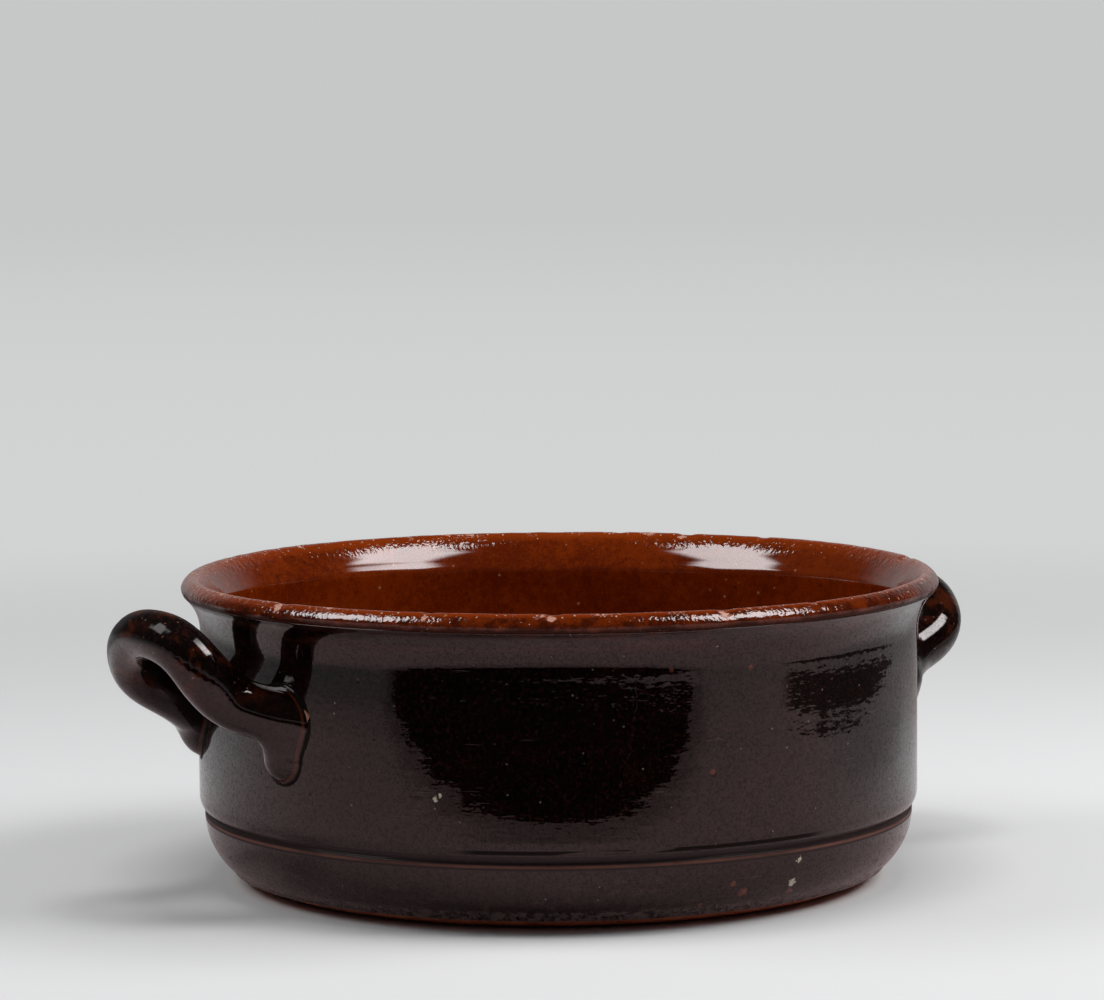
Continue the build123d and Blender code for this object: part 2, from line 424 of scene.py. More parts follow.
def handle_coat(name, line, seed):
    """A handle's glazed form: the net of its distance, its points slid onto the surface along the slope."""
    rods = handle_rods(line)
    cell = 0.85
    low, high = line.min(axis=0) - 14.0, line.max(axis=0) + 14.0
    low[2] = TONGUE_LOW - 4.0
    axes = [np.arange(start, end, cell) for start, end in zip(low, high)]
    box = np.stack(np.meshgrid(*axes, indexing="ij"), axis=-1)
    points, quads = net(worked_in(box, rod_field(axes, rods[0]), rod_field(axes, rods[1]), seed), low, cell)
    slope = slope_of(points, rods, seed)
    steep = np.maximum((slope ** 2).sum(axis=-1, keepdims=True), 0.2)
    for _ in range(2):
        points = points - np.clip(handle_distance(points, rods, seed)[:, None] * slope / steep, -0.3, 0.3)
    slope = slope_of(points, rods, seed)
    turn, reach = np.arctan2(points[:, 1], points[:, 0]), np.hypot(points[:, 0], points[:, 1])
    own = np.clip((reach - WALL_R - 1.0) / 9.0, 0, 1)[:, None]
    placed = thrown(reach, points[:, 2], turn) * (1 - own) + points * own
    piece = meshed(name, placed, quads, np.zeros((0, 3), dtype=int))
    facing = slope / np.maximum(np.linalg.norm(slope, axis=-1, keepdims=True), 1e-6)
    piece.data.normals_split_custom_set_from_vertices(facing)
    return piece


def outer_profile():
    """Glazed outside from the thick edge above the foot up to the lip, then back down under the glaze."""
    turn = np.radians(np.concatenate((np.linspace(-55.6, -50.0, 9), np.linspace(-48.5, 0.0, 17))))
    bead = 0.45 * np.exp(-((np.degrees(turn) + 53.2) / 1.6) ** 2)
    round_r = FOOT_ROUND + np.where(np.degrees(turn) < -55.0, 0.05, COAT) + bead
    foot = np.stack((FOOT_R + round_r * np.cos(turn), FOOT_ROUND + round_r * np.sin(turn)), axis=1)
    drop = WALL_R - GROOVE_R
    high = SHOULDER_Z - GROOVE_Z - 0.3
    bend = (drop ** 2 + high ** 2) / (2 * drop)
    groove = np.array(((121.05, 24.05), (GROOVE_R, GROOVE_Z), (GROOVE_R, GROOVE_Z + 0.3)))
    shoulder = arc((WALL_R - bend, SHOULDER_Z), bend, -np.degrees(np.arcsin(high / bend)), 0, 7)[1:]
    wall = run((WALL_R, SHOULDER_Z), (WALL_R, NECK_Z), 40)
    neck = arc((NECK_R, NECK_Z), NECK_ROUND, 180, 180 - NECK_TURN, 14)
    lip = arc((LIP_R, LIP_Z), LIP_ROUND, -NECK_TURN, HONEY_TURN, 4)[1:]
    visible = np.concatenate((foot, groove, shoulder, wall, neck, lip))
    under = arc((NECK_R, NECK_Z), NECK_ROUND + 0.35, 182 - NECK_TURN, 179, 9)
    hidden = np.array(((122.75, 60.0), (122.75, 31.0), (120.1, 24.4)))
    inner_foot = arc((FOOT_R, FOOT_ROUND), FOOT_ROUND + 0.05, -8, -50, 4)
    return np.concatenate((visible, under, hidden, inner_foot)), len(foot) + 3 + 6, len(visible)


def outer_shell():
    """The brown-black glaze outside, one closed shell: its outer rows carry faint throwing waves."""
    profile, wall_row, last_row = outer_profile()
    turn, radius = np.meshgrid(np.linspace(0, TURN, 720, endpoint=False), profile[:, 0])
    height = np.repeat(profile[:, 1:], turn.shape[1], axis=1)
    rows = slice(wall_row, last_row)
    level = np.clip((height[rows] - SHOULDER_Z) / 6, 0, 1) * np.clip((94 - height[rows]) / 6, 0, 1)
    waves = 0.006 * np.cos(height[rows] * 0.55 + turn[rows] + 0.6 * ring_noise(3, turn[rows], 1, 4))
    waves = waves + 0.02 * ring_noise(5, turn[rows], 2, 7) * np.cos(height[rows] * 0.10 + 1.0)
    radius[rows] += waves * level
    return skin("outer_glaze_coat", thrown(radius, height, turn), loop=True)


def rim_chips():
    """Worn places on the lip: pixel, the height of the lip there, and how wide and deep the chip is, mm."""
    return (
        ((682, 534.5), 104.3, 3.0, 0.45), ((764, 538.0), 104.0, 2.2, 0.35), ((920, 559.5), 103.6, 4.0, 0.35),
        ((277, 607.0), 103.4, 3.2, 0.35), ((424, 617.0), 103.6, 2.0, 0.3), ((551, 618.0), 103.8, 2.4, 0.4),
        ((726, 613.0), 103.6, 3.0, 0.35), ((807, 605.0), 103.2, 2.2, 0.3), ((618, 532.0), 104.3, 1.8, 0.3),
    )


def inner_profile():
    """Honey glaze from the middle of the floor's underside out, over the lip's edge and down the inside."""
    floor_under = run((0.3, FLOOR_Z - 0.4), (INNER_R - INNER_ROUND, FLOOR_Z - 0.4), 5)
    corner = (INNER_R - INNER_ROUND, FLOOR_Z + INNER_ROUND)
    under = np.concatenate((
        np.array(((0.3, FLOOR_Z - 0.4),)), floor_under, arc(corner, INNER_ROUND + 0.4, -90, 0, 5),
        np.array(((INNER_R + 0.4, 60.0), (INNER_R + 0.4, 92.0), (122.9, 101.8))),
        np.array(((126.3, 104.0), (129.0, 102.4), (129.45, 100.5))),
    ))
    lip = lip_round()
    soft = np.array(((1.35, 2.05), (0.7, 0.95), (0.25, 0.05), (0.06, -0.8), (0.0, -1.9)))
    soft = soft + np.array((INNER_R, BREAK_Z))
    flare = bent(lip[-1], FLARE, soft[0], FLARE_FOOT, 14)[1:-1]
    wall = run(soft[-1], (INNER_R, corner[1]), 26)
    inner_corner = arc(corner, INNER_ROUND, 0, -90, 14)
    floor = run((corner[0], FLOOR_Z), (0.3, FLOOR_Z), 16)
    profile = np.concatenate((under, lip, flare, soft, wall, inner_corner, floor))
    return profile, len(under), len(under) + len(lip)


def honey_shell():
    """The honey glaze inside and over the lip, one closed shell with small chips bitten out of the lip.

    A chip moves the lip's rows towards the lip's middle by depth x a bell of the distance round the rim.
    """
    profile, start, end = inner_profile()
    turns = np.linspace(0, TURN, 720, endpoint=False)
    turn, radius = np.meshgrid(turns, profile[:, 0])
    height = np.repeat(profile[:, 1:], len(turns), axis=1)
    rows = slice(start, end)
    crest = np.clip((height[rows] - 101.5) / 2.0, 0, 1)
    bite = (0.03 * ring_noise(11, turn[rows], 20, 90) + 0.05 * ring_noise(12, turn[rows], 3, 12)) * crest
    for pixel, level, wide, deep in rim_chips():
        spot = on_level(pixel, level)
        apart = np.abs((turn[rows] - np.arctan2(spot[1], spot[0]) + np.pi) % TURN - np.pi) * 127.0
        bite = bite + deep * np.exp(-(apart / wide) ** 4) * crest
    radius[rows] -= bite * (radius[rows] - LIP_R) / LIP_ROUND
    height[rows] -= bite * (height[rows] - LIP_Z) / LIP_ROUND
    flare = np.clip(1 - np.abs(height[end:] - BREAK_Z) / 9.0, 0, 1)
    height[end:] += 1.2 * flare * np.cos(2 * (turn[end:] + SIDE))
    waves = 0.02 * np.cos(height[end:] * 0.4 + turn[end:] + 0.5 * ring_noise(7, turn[end:], 1, 4))
    radius[end:] += waves * np.clip((height[end:] - 20) / 15, 0, 1) * np.clip((100 - height[end:]) / 6, 0, 1)
    return skin("inner_glaze_coat", thrown(radius, height, turn), loop=False)


def clay_bowl():
    """The bare thrown bowl, seen at the foot, where the glaze stops, and under the base."""
    ring = np.array(((84.0, 0.25), (86.0, 0.02)))
    base = np.concatenate((np.array(((0.3, 0.25),)), run((0.3, 0.25), (84.0, 0.25), 10), ring))
    foot = arc((FOOT_R, FOOT_ROUND), FOOT_ROUND, -90, 0, 40)
    outside = np.array(((120.2, 24.3), (122.3, 31.0), (122.4, 60.0), (122.4, 84.0)))
    neck = arc((NECK_R, NECK_Z), NECK_ROUND + 0.9, 176, 182 - NECK_TURN, 5)
    lip = arc((LIP_R, LIP_Z), LIP_ROUND - 0.9, -45, 90 + FLARE, 14)
    corner = (INNER_R - INNER_ROUND, FLOOR_Z + INNER_ROUND)
    inside = np.array(((INNER_R + 0.9, 91.6), (INNER_R + 0.6, 60.0)))
    bend = arc(corner, INNER_ROUND + 0.6, 0, -90, 8)
    floor = run((corner[0], FLOOR_Z - 0.6), (0.3, FLOOR_Z - 0.6), 6)
    profile = np.concatenate((base, foot, outside, neck, lip, inside, bend, floor))
    turns = np.linspace(0, TURN, 480, endpoint=False)
    turn, radius = np.meshgrid(turns, profile[:, 0])
    height = np.repeat(profile[:, 1:], len(turns), axis=1)
    worn = 0.12 * ring_noise(21, turn, 15, 60) * np.exp(-((height - 1.5) / 2.0) ** 2) * (radius > 90)
    return skin("clay_bowl", thrown(radius - np.abs(worn), height, turn), loop=False)


class Sock:
    """One socket of a shader tree. Sums and products of it add Math nodes, and node() adds any other node."""

    def __init__(self, tree, socket=None):
        self.tree = tree
        self.socket = socket

    def node(self, kind, settings=None, sockets=None, out=0):
        """Adds a node: its settings first, then values or links for its sockets, and gives one output."""
        made = self.tree.nodes.new(kind)
        for key, value in (settings or {}).items():
            setattr(made, key, value)
        for key, value in (sockets or {}).items():
            if isinstance(value, Sock):
                self.tree.links.new(value.socket, made.inputs[key])
            else:
                made.inputs[key].default_value = value
        return Sock(self.tree, made.outputs[out])

    def math(self, operation, *values):
        return self.node("ShaderNodeMath", {"operation": operation}, dict(enumerate(values)))

    def __add__(self, other):
        return self.math("ADD", self, other)

    def __radd__(self, other):
        return self.math("ADD", other, self)

    def __sub__(self, other):
        return self.math("SUBTRACT", self, other)

    def __rsub__(self, other):
        return self.math("SUBTRACT", other, self)

    def __mul__(self, other):
        return self.math("MULTIPLY", self, other)

    def larger(self, other):
        return self.math("MAXIMUM", self, other)

    def smaller(self, other):
        return self.math("MINIMUM", self, other)

    def size(self):
        return self.math("ABSOLUTE", self)

    def step(self, low, high):
        """0 below low, 1 above high, smooth between; low above high turns it round."""
        smooth = {"interpolation_type": "SMOOTHSTEP"}
        return self.node("ShaderNodeMapRange", smooth, {0: self, 1: low, 2: high})

    def vector(self, operation, *values, out=0):
        sockets = dict(enumerate((self, *values)))
        return self.node("ShaderNodeVectorMath", {"operation": operation}, sockets, out)

    def part(self, axis):
        return self.node("ShaderNodeSeparateXYZ", None, {0: self}, axis)

    def noise(self, scale, detail=3.0, rough=0.5, stretch=None):
        where = self.vector("MULTIPLY", stretch) if stretch else self
        sockets = {"Vector": where, "Scale": scale, "Detail": detail, "Roughness": rough}
        return self.node("ShaderNodeTexNoise", None, sockets)

    def cells(self, scale, out):
        return self.node("ShaderNodeTexVoronoi", None, {"Vector": self, "Scale": scale}, out)

    def dots(self, scale, rim, core, low, high, channel=0):
        """Round dots, none past rim and full within core, in the cells whose chance value is above low."""
        chance = self.node("ShaderNodeSeparateColor", None, {0: self.cells(scale, 1)}, channel)
        return self.cells(scale, 0).step(rim, core) * chance.step(low, high)

    def near(self, spot):
        """Distance in metres from a point."""
        return self.vector("DISTANCE", tuple(spot), out=1)

    def paint(self, colour, over):
        """Mixes from the colour below to this one, by this value."""
        return self.node("ShaderNodeMix", {"data_type": "RGBA"}, {0: self, 6: over, 7: colour}, 2)


def finish_tree(name):
    """A new material with an empty tree: the material, a Sock to start from, and its output node."""
    material = bpy.data.materials.new(name)
    material.use_nodes = True
    material.node_tree.nodes.clear()
    output = material.node_tree.nodes.new("ShaderNodeOutputMaterial")
    return material, Sock(material.node_tree), output


PLAIN = (1.0, 1.0, 1.0, 1.0)


def glaze_shader(start, output, colour, roughness, height, depth, ior,
                 tint=PLAIN, film=None, film_colour=None):
    """Glossy glaze: colour and roughness vary, the height roughens it, and film dulls it to a matt colour."""
    normal = start.node("ShaderNodeBump", None, {"Strength": 1.0, "Distance": depth, "Height": height})
    shader = start.node("ShaderNodeBsdfPrincipled", None, {
        "Base Color": colour, "Roughness": roughness, "Normal": normal, "IOR": ior, "Specular Tint": tint})
    if film is not None:
        dull = start.node("ShaderNodeBsdfPrincipled", None, {
            "Base Color": film_colour, "Roughness": 0.9, "Specular IOR Level": 0.05})
        shader = start.node("ShaderNodeMixShader", None, {0: film, 1: shader, 2: dull})
    start.tree.links.new(shader.socket, output.inputs["Surface"])


CLAY_PINK = (0.50, 0.235, 0.165, 1.0)
BONE = (0.70, 0.62, 0.54, 1.0)

# Flaws on the wall: pixel, radius mm
PITS = (
    ((356, 681), 0.8), ((374, 738.5), 0.8), ((713, 772.5), 1.6), ((435, 667), 0.6), ((471, 667), 0.7),
    ((513, 667), 0.6), ((613, 667), 0.7), ((668, 668), 0.6), ((749, 667), 0.6), ((907, 650), 1.0),
    ((310, 793), 0.9), ((262, 772), 0.8), ((268, 786), 0.7), ((256, 764), 0.6),
)
RED_SPOTS = (
    ((743, 892), 2.2), ((733.5, 883.6), 1.2), ((789, 890.6), 1.6), ((700, 905), 1.0),
    ((713, 772.5), 1.3), ((669.5, 669.5), 0.9), ((749, 667), 1.0),
)
PALE_CHIPS = (
    ((711, 644.5), 1.6), ((791.7, 883), 1.9), ((799.5, 859.5), 1.3), ((435, 798.5), 0.9), ((440, 797), 0.7),
)

# Pixels: the middle of the dark dashes painted on the shoulder as a painted reflection of shade, and the
# crack from top to bottom
SHADE_DASH_MIDDLE = (655, 852)
CRACK = ((639, 677), (636, 712), (627, 758), (621, 793))

# Heights on the dark glaze, m: the ridge under the groove, the groove's middle, and the painted dark dashes
RIDGE_AT, GROOVE_AT, SHADE_DASHES_AT = 0.0231, 0.0242, 0.0279


def flaws(place, spots, core, ragged=0.0):
    """One within each flaw, given by pixel and radius in mm: full in its core, a share, and ragged."""
    total = 0.0
    for pixel, radius in spots:
        gap = place.near(on_outside(pixel)) + ragged
        total = gap.step(radius * MM, radius * MM * core) + total
    return total


def crack_line(place, z):
    """One along the hairline crack, which wanders a little from pixel to pixel."""
    crack = 0.0
    wander = (place.noise(90, 3) - 0.5) * 0.004
    for above, below in zip(CRACK[:-1], CRACK[1:]):
        top, low = on_wall(above), on_wall(below)
        middle = (top + low) / 2
        along, outward = top - low, middle * (1, 1, 0)
        side = np.cross(along / np.linalg.norm(along), outward / np.linalg.norm(outward))
        off = place.vector("DOT_PRODUCT", tuple(side), out=1) - float(side @ middle) + wander
        half = float(top[2] - low[2]) / 2
        span = (z - float(middle[2])).size().step(half + 0.0003, half - 0.0003)
        front = place.near(middle).step(0.024, 0.022)
        crack = off.size().step(0.00022, 0.00006) * span * front + crack
    return crack


def dark_finish(name, worked):
    """Brown-black glaze: browner where it is thin, pitted, flecked, with fine level throwing lines.

    On the worked-in handles it is thin and red on the ridge round each root, is painted black and matt in the
    crease below it as painted shade where the glaze also pools, and is worn dull on the crown.
    """
    material, start, output = finish_tree(name)
    place = start.node("ShaderNodeTexCoord", out=3)
    z = place.part(2)
    out = place.vector("MULTIPLY", (1.0, 1.0, 0.0)).vector("LENGTH", out=1)
    cloud = place.noise(38, 5, 0.6)
    fine = place.noise(420, 3, 0.6)
    lines = place.noise(1.0, 1.5, 0.55, (130.0, 130.0, 620.0))
    long_lines = place.noise(1.0, 2, 0.5, (18.0, 18.0, 190.0))
    thin = (cloud * 0.75 + fine * 0.25).step(0.50, 0.68)
    colour = thin.paint((0.0065, 0.0012, 0.0006, 1.0), (0.0022, 0.0004, 0.0003, 1.0))
    grain = place.noise(900, 2, 0.6).step(0.50, 0.72)
    colour = (grain * 0.8).paint((0.022, 0.0062, 0.0040, 1.0), colour)
    handle = out.step(0.1262, 0.1300)
    streak = place.noise(1.0, 4, 0.6, (130.0, 60.0, 130.0))
    brown = handle * z.step(0.069, 0.080) * streak.step(0.48, 0.66)
    colour = (brown * 0.9).paint((0.056, 0.0098, 0.0022, 1.0), colour)
    nicks = handle * z.step(0.072, 0.082) * place.dots(520, 0.26, 0.12, 0.84, 0.86)
    colour = (nicks * 0.6).paint((0.20, 0.075, 0.040, 1.0), colour)
    crown = handle * z.step(0.0900, 0.0940)
    neck = z.step(0.0895, 0.0955) * (1 - handle) * long_lines.step(0.46, 0.62)
    colour = (neck * 0.6).paint((0.045, 0.010, 0.0035, 1.0), colour)
    ridge = (z - RIDGE_AT).size().step(0.0007, 0.0002) * (0.5 + place.noise(60, 3).step(0.35, 0.6) * 0.5)
    groove = (z - GROOVE_AT).size().step(0.0026, 0.0018)
    colour = (ridge * 0.8).paint((0.065, 0.017, 0.008, 1.0), colour)
    foot = z.step(0.0215, 0.0165)
    scuff = foot * place.noise(150, 5, 0.7, (1.0, 1.0, 2.2)).step(0.52, 0.70)
    colour = (scuff * 0.55).paint((0.045, 0.020, 0.014, 1.0), colour)
    edge = z.step(0.0082, 0.0064) * place.noise(420, 4, 0.65).step(0.36, 0.62)
    colour = (edge * 0.5).paint((0.15, 0.108, 0.104, 1.0), colour)
    # Just under the lip the dark glaze is painted darker, and with the film below painted black and matt:
    # painted shade under the lip
    lip = (z + (place.noise(120, 4, 0.6) - 0.5) * 0.002).step(0.0964, 0.0980)
    colour = (lip * (1 - handle)).paint((0.030, 0.0065, 0.0022, 1.0), colour)
    holes = flaws(place, PITS, 0.35) + place.dots(85, 0.085, 0.03, 0.80, 0.82) * 0.8
    colour = (holes * 0.7).paint((0.022, 0.004, 0.002, 1.0), colour)
    flecks = place.dots(330, 0.14, 0.06, 0.87, 0.875)
    colour = (flecks * 0.7).paint((0.22, 0.18, 0.16, 1.0), colour)
    reds = flaws(place, RED_SPOTS, 0.5, (fine - 0.5) * 0.001)
    colour = (reds * 0.8).paint((0.16, 0.040, 0.022, 1.0), colour)
    pales = flaws(place, PALE_CHIPS, 0.5, (place.noise(900, 2) - 0.5) * 0.003)
    colour = (pales * 0.9).paint((0.60, 0.53, 0.42, 1.0), colour)
    dashes = place.noise(1.0, 2, 0.5, (70.0, 70.0, 2600.0)).step(0.70, 0.735)
    dashes = dashes * place.noise(34, 2).step(0.52, 0.60)
    colour = (dashes * (1 - handle) * 0.35).paint((0.16, 0.12, 0.10, 1.0), colour)
    crack = crack_line(place, z)
    colour = (crack * 0.3).paint((0.020, 0.006, 0.004, 1.0), colour)
    shade = lip * (1 - handle) * 0.8
    # Dark matt dashes on the front of the shoulder: a painted reflection of the shaded floor by the foot
    shoulder = (z - SHADE_DASHES_AT).size().step(0.0009, 0.0005)
    shoulder = shoulder * place.noise(1.0, 2, 0.55, (30.0, 30.0, 260.0)).step(0.36, 0.42)
    shoulder = shoulder * place.near(on_wall(SHADE_DASH_MIDDLE)).step(0.068, 0.056)
    pepper = (place.noise(1500, 1) * 0.6 + place.noise(650, 2, 0.6) * 0.4).step(0.42, 0.66)
    film = (groove * 0.85).larger(shade).larger(shoulder * 0.85).larger(pepper * 0.4)
    # The matt film in the groove is painted pinkish grey, a painted reflection like the wall's sheen; on the
    # ridge it is a lighter red-brown, the ridge's thin glaze
    film_colour = groove.paint((0.037, 0.024, 0.024, 1.0), (0.003, 0.0015, 0.0012, 1.0))
    film_colour = ridge.paint((0.16, 0.069, 0.054, 1.0), film_colour)
    if worked:
        knob = z.step(0.0775, 0.0745)
        rough_edge = (place.noise(260, 3, 0.6) - 0.5) * 0.0008
        ridge_line = (out + rough_edge - (WALL_R + 1.25) * MM).size().step(0.0006, 0.0002) * knob
        colour = (ridge_line * 0.8).paint((0.085, 0.018, 0.007, 1.0), colour)
        # Black matt film in the crease where each root meets the wall: painted shade, with glaze pooled there
        film = (out + rough_edge).step((WALL_R + 0.70) * MM, (WALL_R + 0.30) * MM) * 0.85
        film = film.larger(pepper * 0.3).larger(crown * 0.8)
        film_colour = crown.paint(colour, film_colour)
    roughness = 0.022 + fine * 0.008 + foot * 0.14 + neck * 0.05 + crown * 0.05
    roughness = roughness + scuff * 0.2 + edge * 0.25 + holes * 0.2 + pales * 0.4
    height = lines * 0.42 + long_lines * 0.4 + place.noise(170, 1) * 0.5 + place.noise(480, 1) * 0.5
    height = height - holes * 1.5 - pales * 4.0 - crack * 0.3 + foot * fine * 1.2
    tint = (1.0, 0.94, 0.94, 1.0)
    glaze_shader(start, output, colour, roughness, height, 0.00003, 1.5, tint, film, film_colour)
    return material


def honey_finish():
    """Honey glaze: mottled red-brown, flecked, worn to pale clay along the lip; painted shade darkens the
    lip's outer face and paints it black under the lip, and painted light makes the lip's top a lighter
    orange.
    """
    material, start, output = finish_tree("honey_glaze")
    place = start.node("ShaderNodeTexCoord", out=3)
    z = place.part(2)
    out = place.vector("MULTIPLY", (1.0, 1.0, 0.0)).vector("LENGTH", out=1)
    outside = out.step(0.1262, 0.1280)
    cloud = place.noise(30, 5, 0.6)
    fine = place.noise(330, 4, 0.65)
    grit = place.noise(1300, 3, 0.6)
    body = (cloud * 0.4 + fine * 0.3 + grit * 0.3).step(0.40, 0.60)
    colour = body.paint((0.212, 0.0275, 0.0013, 1.0), (0.110, 0.0115, 0.0007, 1.0))
    lip = z.step(0.0985, 0.1015)
    # The lip's outer face is painted darker with random blotches: painted shade
    face = out.step(0.1268, 0.1286) * lip
    blotch = place.noise(140, 5, 0.7).step(0.46, 0.62)
    colour = (face * (0.25 + blotch * 0.6)).paint((0.036, 0.0042, 0.0005, 1.0), colour)
    # Under the lip, on the outside, the glaze is painted near black: painted shade
    under = outside * (z + (place.noise(120, 4, 0.6) - 0.5) * 0.0030).step(0.1014, 0.0994)
    colour = (under * 0.9).paint((0.018, 0.0034, 0.0010, 1.0), colour)
    # The lip's top, away from the face, is painted a lighter orange: painted light
    colour = (z.step(0.1012, 0.1036) * (1 - face) * 0.6).paint((0.28, 0.038, 0.0022, 1.0), colour)
    dots = place.dots(300, 0.22, 0.10, 0.90, 0.92)
    colour = (dots * 0.7).paint((0.42, 0.20, 0.10, 1.0), colour)
    darks = place.dots(210, 0.22, 0.10, 0.86, 0.90, 1)
    colour = (darks * 0.6).paint((0.035, 0.008, 0.002, 1.0), colour)
    crest = z.step(0.1030, 0.1043)
    worn = crest * (place.noise(70, 6, 0.72) * 0.55 + fine * 0.25 + grit * 0.2).step(0.560, 0.585)
    chips = 0.0
    for pixel, level, wide, _ in rim_chips():
        spot = on_level(pixel, level)
        chips = (place.near(spot) + (fine - 0.5) * 0.005).step(wide * MM * 0.62, wide * MM * 0.5) + chips
    bare = (worn + chips * z.step(0.1008, 0.1020)).smaller(1.0)
    colour = bare.paint(CLAY_PINK, colour)
    white = crest * place.dots(760, 0.34, 0.16, 0.80, 0.83)
    specks = lip * place.dots(640, 0.20, 0.10, 0.81, 0.83, 1)
    colour = (white * 0.8 + specks * 0.7).paint(BONE, colour)
    roughness = 0.06 + fine * 0.02 + bare * 0.45
    height = place.noise(140, 3) * 0.5 + place.noise(1.0, 2, 0.5, (18.0, 18.0, 240.0)) * 0.6 + fine * 0.08
    height = height + lip * (place.noise(420, 1) * 8.0 + place.noise(900, 1) * 5.0) - bare * 5.0
    # The matt film under the lip is part of the painted shade there
    film = under * 0.85
    glaze_shader(start, output, colour, roughness, height, 0.00003, 1.5, film=film, film_colour=colour)
    return material


def clay_finish(name, pale, deep):
    """Bare fired clay: gritty, stained darker in the hollows, with pale specks of filler."""
    material, start, output = finish_tree(name)
    place = start.node("ShaderNodeTexCoord", out=3)
    cloud = place.noise(55, 5, 0.65)
    grit = place.noise(900, 4, 0.7)
    colour = (cloud * 0.6 + grit * 0.4).step(0.36, 0.64).paint(pale, deep)
    specks = place.dots(420, 0.25, 0.12, 0.88, 0.9)
    colour = (specks * 0.6).paint(BONE, colour)
    soot = place.part(2).step(0.0028, 0.0046) * place.noise(120, 4, 0.65).step(0.35, 0.6)
    colour = (soot * 0.6).paint((0.035, 0.014, 0.010, 1.0), colour)
    roughness = 0.72 + grit * 0.2
    glaze_shader(start, output, colour, roughness, grit + cloud * 2.0, 0.00012, 1.45)
    return material


BACKDROP_NEAR = (0.645, 0.650, 0.650, 1.0)
BACKDROP_FAR = (0.565, 0.578, 0.572, 1.0)
TABLE_FRONT, TABLE_RIGHT = 0.335, 0.505
FRONT_END, RIGHT_END = 0.755, 0.605


def floor_finish():
    """Pale floor that fades into the backdrop further out; the gloss shows the dark room past the table."""
    material, start, output = finish_tree("studio_floor")
    place = start.node("ShaderNodeTexCoord", out=3)
    away = place.vector("LENGTH", out=1)
    seen = start.node("ShaderNodeLightPath", out=0)
    glossy = start.node("ShaderNodeLightPath", out=3)
    ahead = place.vector("DOT_PRODUCT", tuple(-stage_place(0, 1, 0)), out=1)
    across = place.vector("DOT_PRODUCT", tuple(stage_place(1, 0, 0)), out=1)
    pale = (glossy * ahead.step(-0.25, 0.15)).paint((0.84, 0.60, 0.605, 1.0), (0.80, 0.80, 0.805, 1.0))
    dim = (across.step(0.25, 0.40) * ahead.step(0.15, -0.10) * 0.85).larger(ahead.step(-0.10, -0.45))
    pale = (glossy * dim).paint((0.42, 0.365, 0.37, 1.0), pale)
    shade = start.node("ShaderNodeBsdfPrincipled", None, {
        "Base Color": pale, "Roughness": 1.0, "Specular IOR Level": 0.0})
    far_colour = away.step(0.9, 7.0).paint(BACKDROP_FAR, BACKDROP_NEAR)
    far_colour = (glossy * 0.56).paint((0.0, 0.0, 0.0, 1.0), far_colour)
    far = start.node("ShaderNodeEmission", None, {"Color": far_colour, "Strength": 1.0})
    fade = away.step(0.30, 1.15) * seen.larger(glossy)
    surface = start.node("ShaderNodeMixShader", None, {0: fade, 1: shade, 2: far})
    room = start.node("ShaderNodeEmission", None, {"Color": (0.006, 0.005, 0.005, 1.0), "Strength": 1.0})
    to_right, to_left = across.larger(0.0), (across * -1.0).larger(0.0)
    ragged = (place.noise(28, 4, 0.65) - 0.5) * 0.2
    past = ahead - TABLE_FRONT - to_right * to_right * 0.95 - to_left * to_left * 0.53
    past = past + ragged * to_left.step(0.05, 0.25)
    front = past.step(-0.08, -0.01) * 0.45 + past.step(-0.004, 0.004) * 0.55
    front = front * (away + across * 0.38 + ragged).step(FRONT_END + 0.008, FRONT_END - 0.008)
    side = (across + ragged * 0.5).step(TABLE_RIGHT - 0.01, TABLE_RIGHT + 0.01) * ahead.step(0.24, 0.19) * 0.9
    side = side * (away + ragged * 0.5).step(RIGHT_END + 0.008, RIGHT_END - 0.008)
    surface = start.node("ShaderNodeMixShader", None, {0: front.larger(side) * glossy, 1: surface, 2: room})
    start.tree.links.new(surface.socket, output.inputs["Surface"])
    return material


def studio_floor():
    """Round level floor: rings of growing radius about the pot."""
    radii = 1000.0 * np.geomspace(0.02, 60.0, 40)
    turn, radius = np.meshgrid(np.linspace(0, TURN, 96, endpoint=False), radii[::-1])
    grid = np.stack((radius * np.cos(turn), radius * np.sin(turn), np.zeros(radius.shape)), axis=-1)
    index = np.arange(grid.shape[0] * 96).reshape(grid.shape[0], 96)
    ahead = np.roll(index, -1, axis=1)
    quads = np.stack((index[:-1], ahead[:-1], ahead[1:], index[1:]), axis=-1).reshape(-1, 4)
    mesh = bpy.data.meshes.new("studio_floor")
    mesh.from_pydata((grid.reshape(-1, 3) * MM).tolist(), [], quads.tolist() + [index[-1].tolist()])
    floor = bpy.data.objects.new("studio_floor", mesh)
    bpy.context.scene.collection.objects.link(floor)
    floor.data.materials.append(floor_finish())


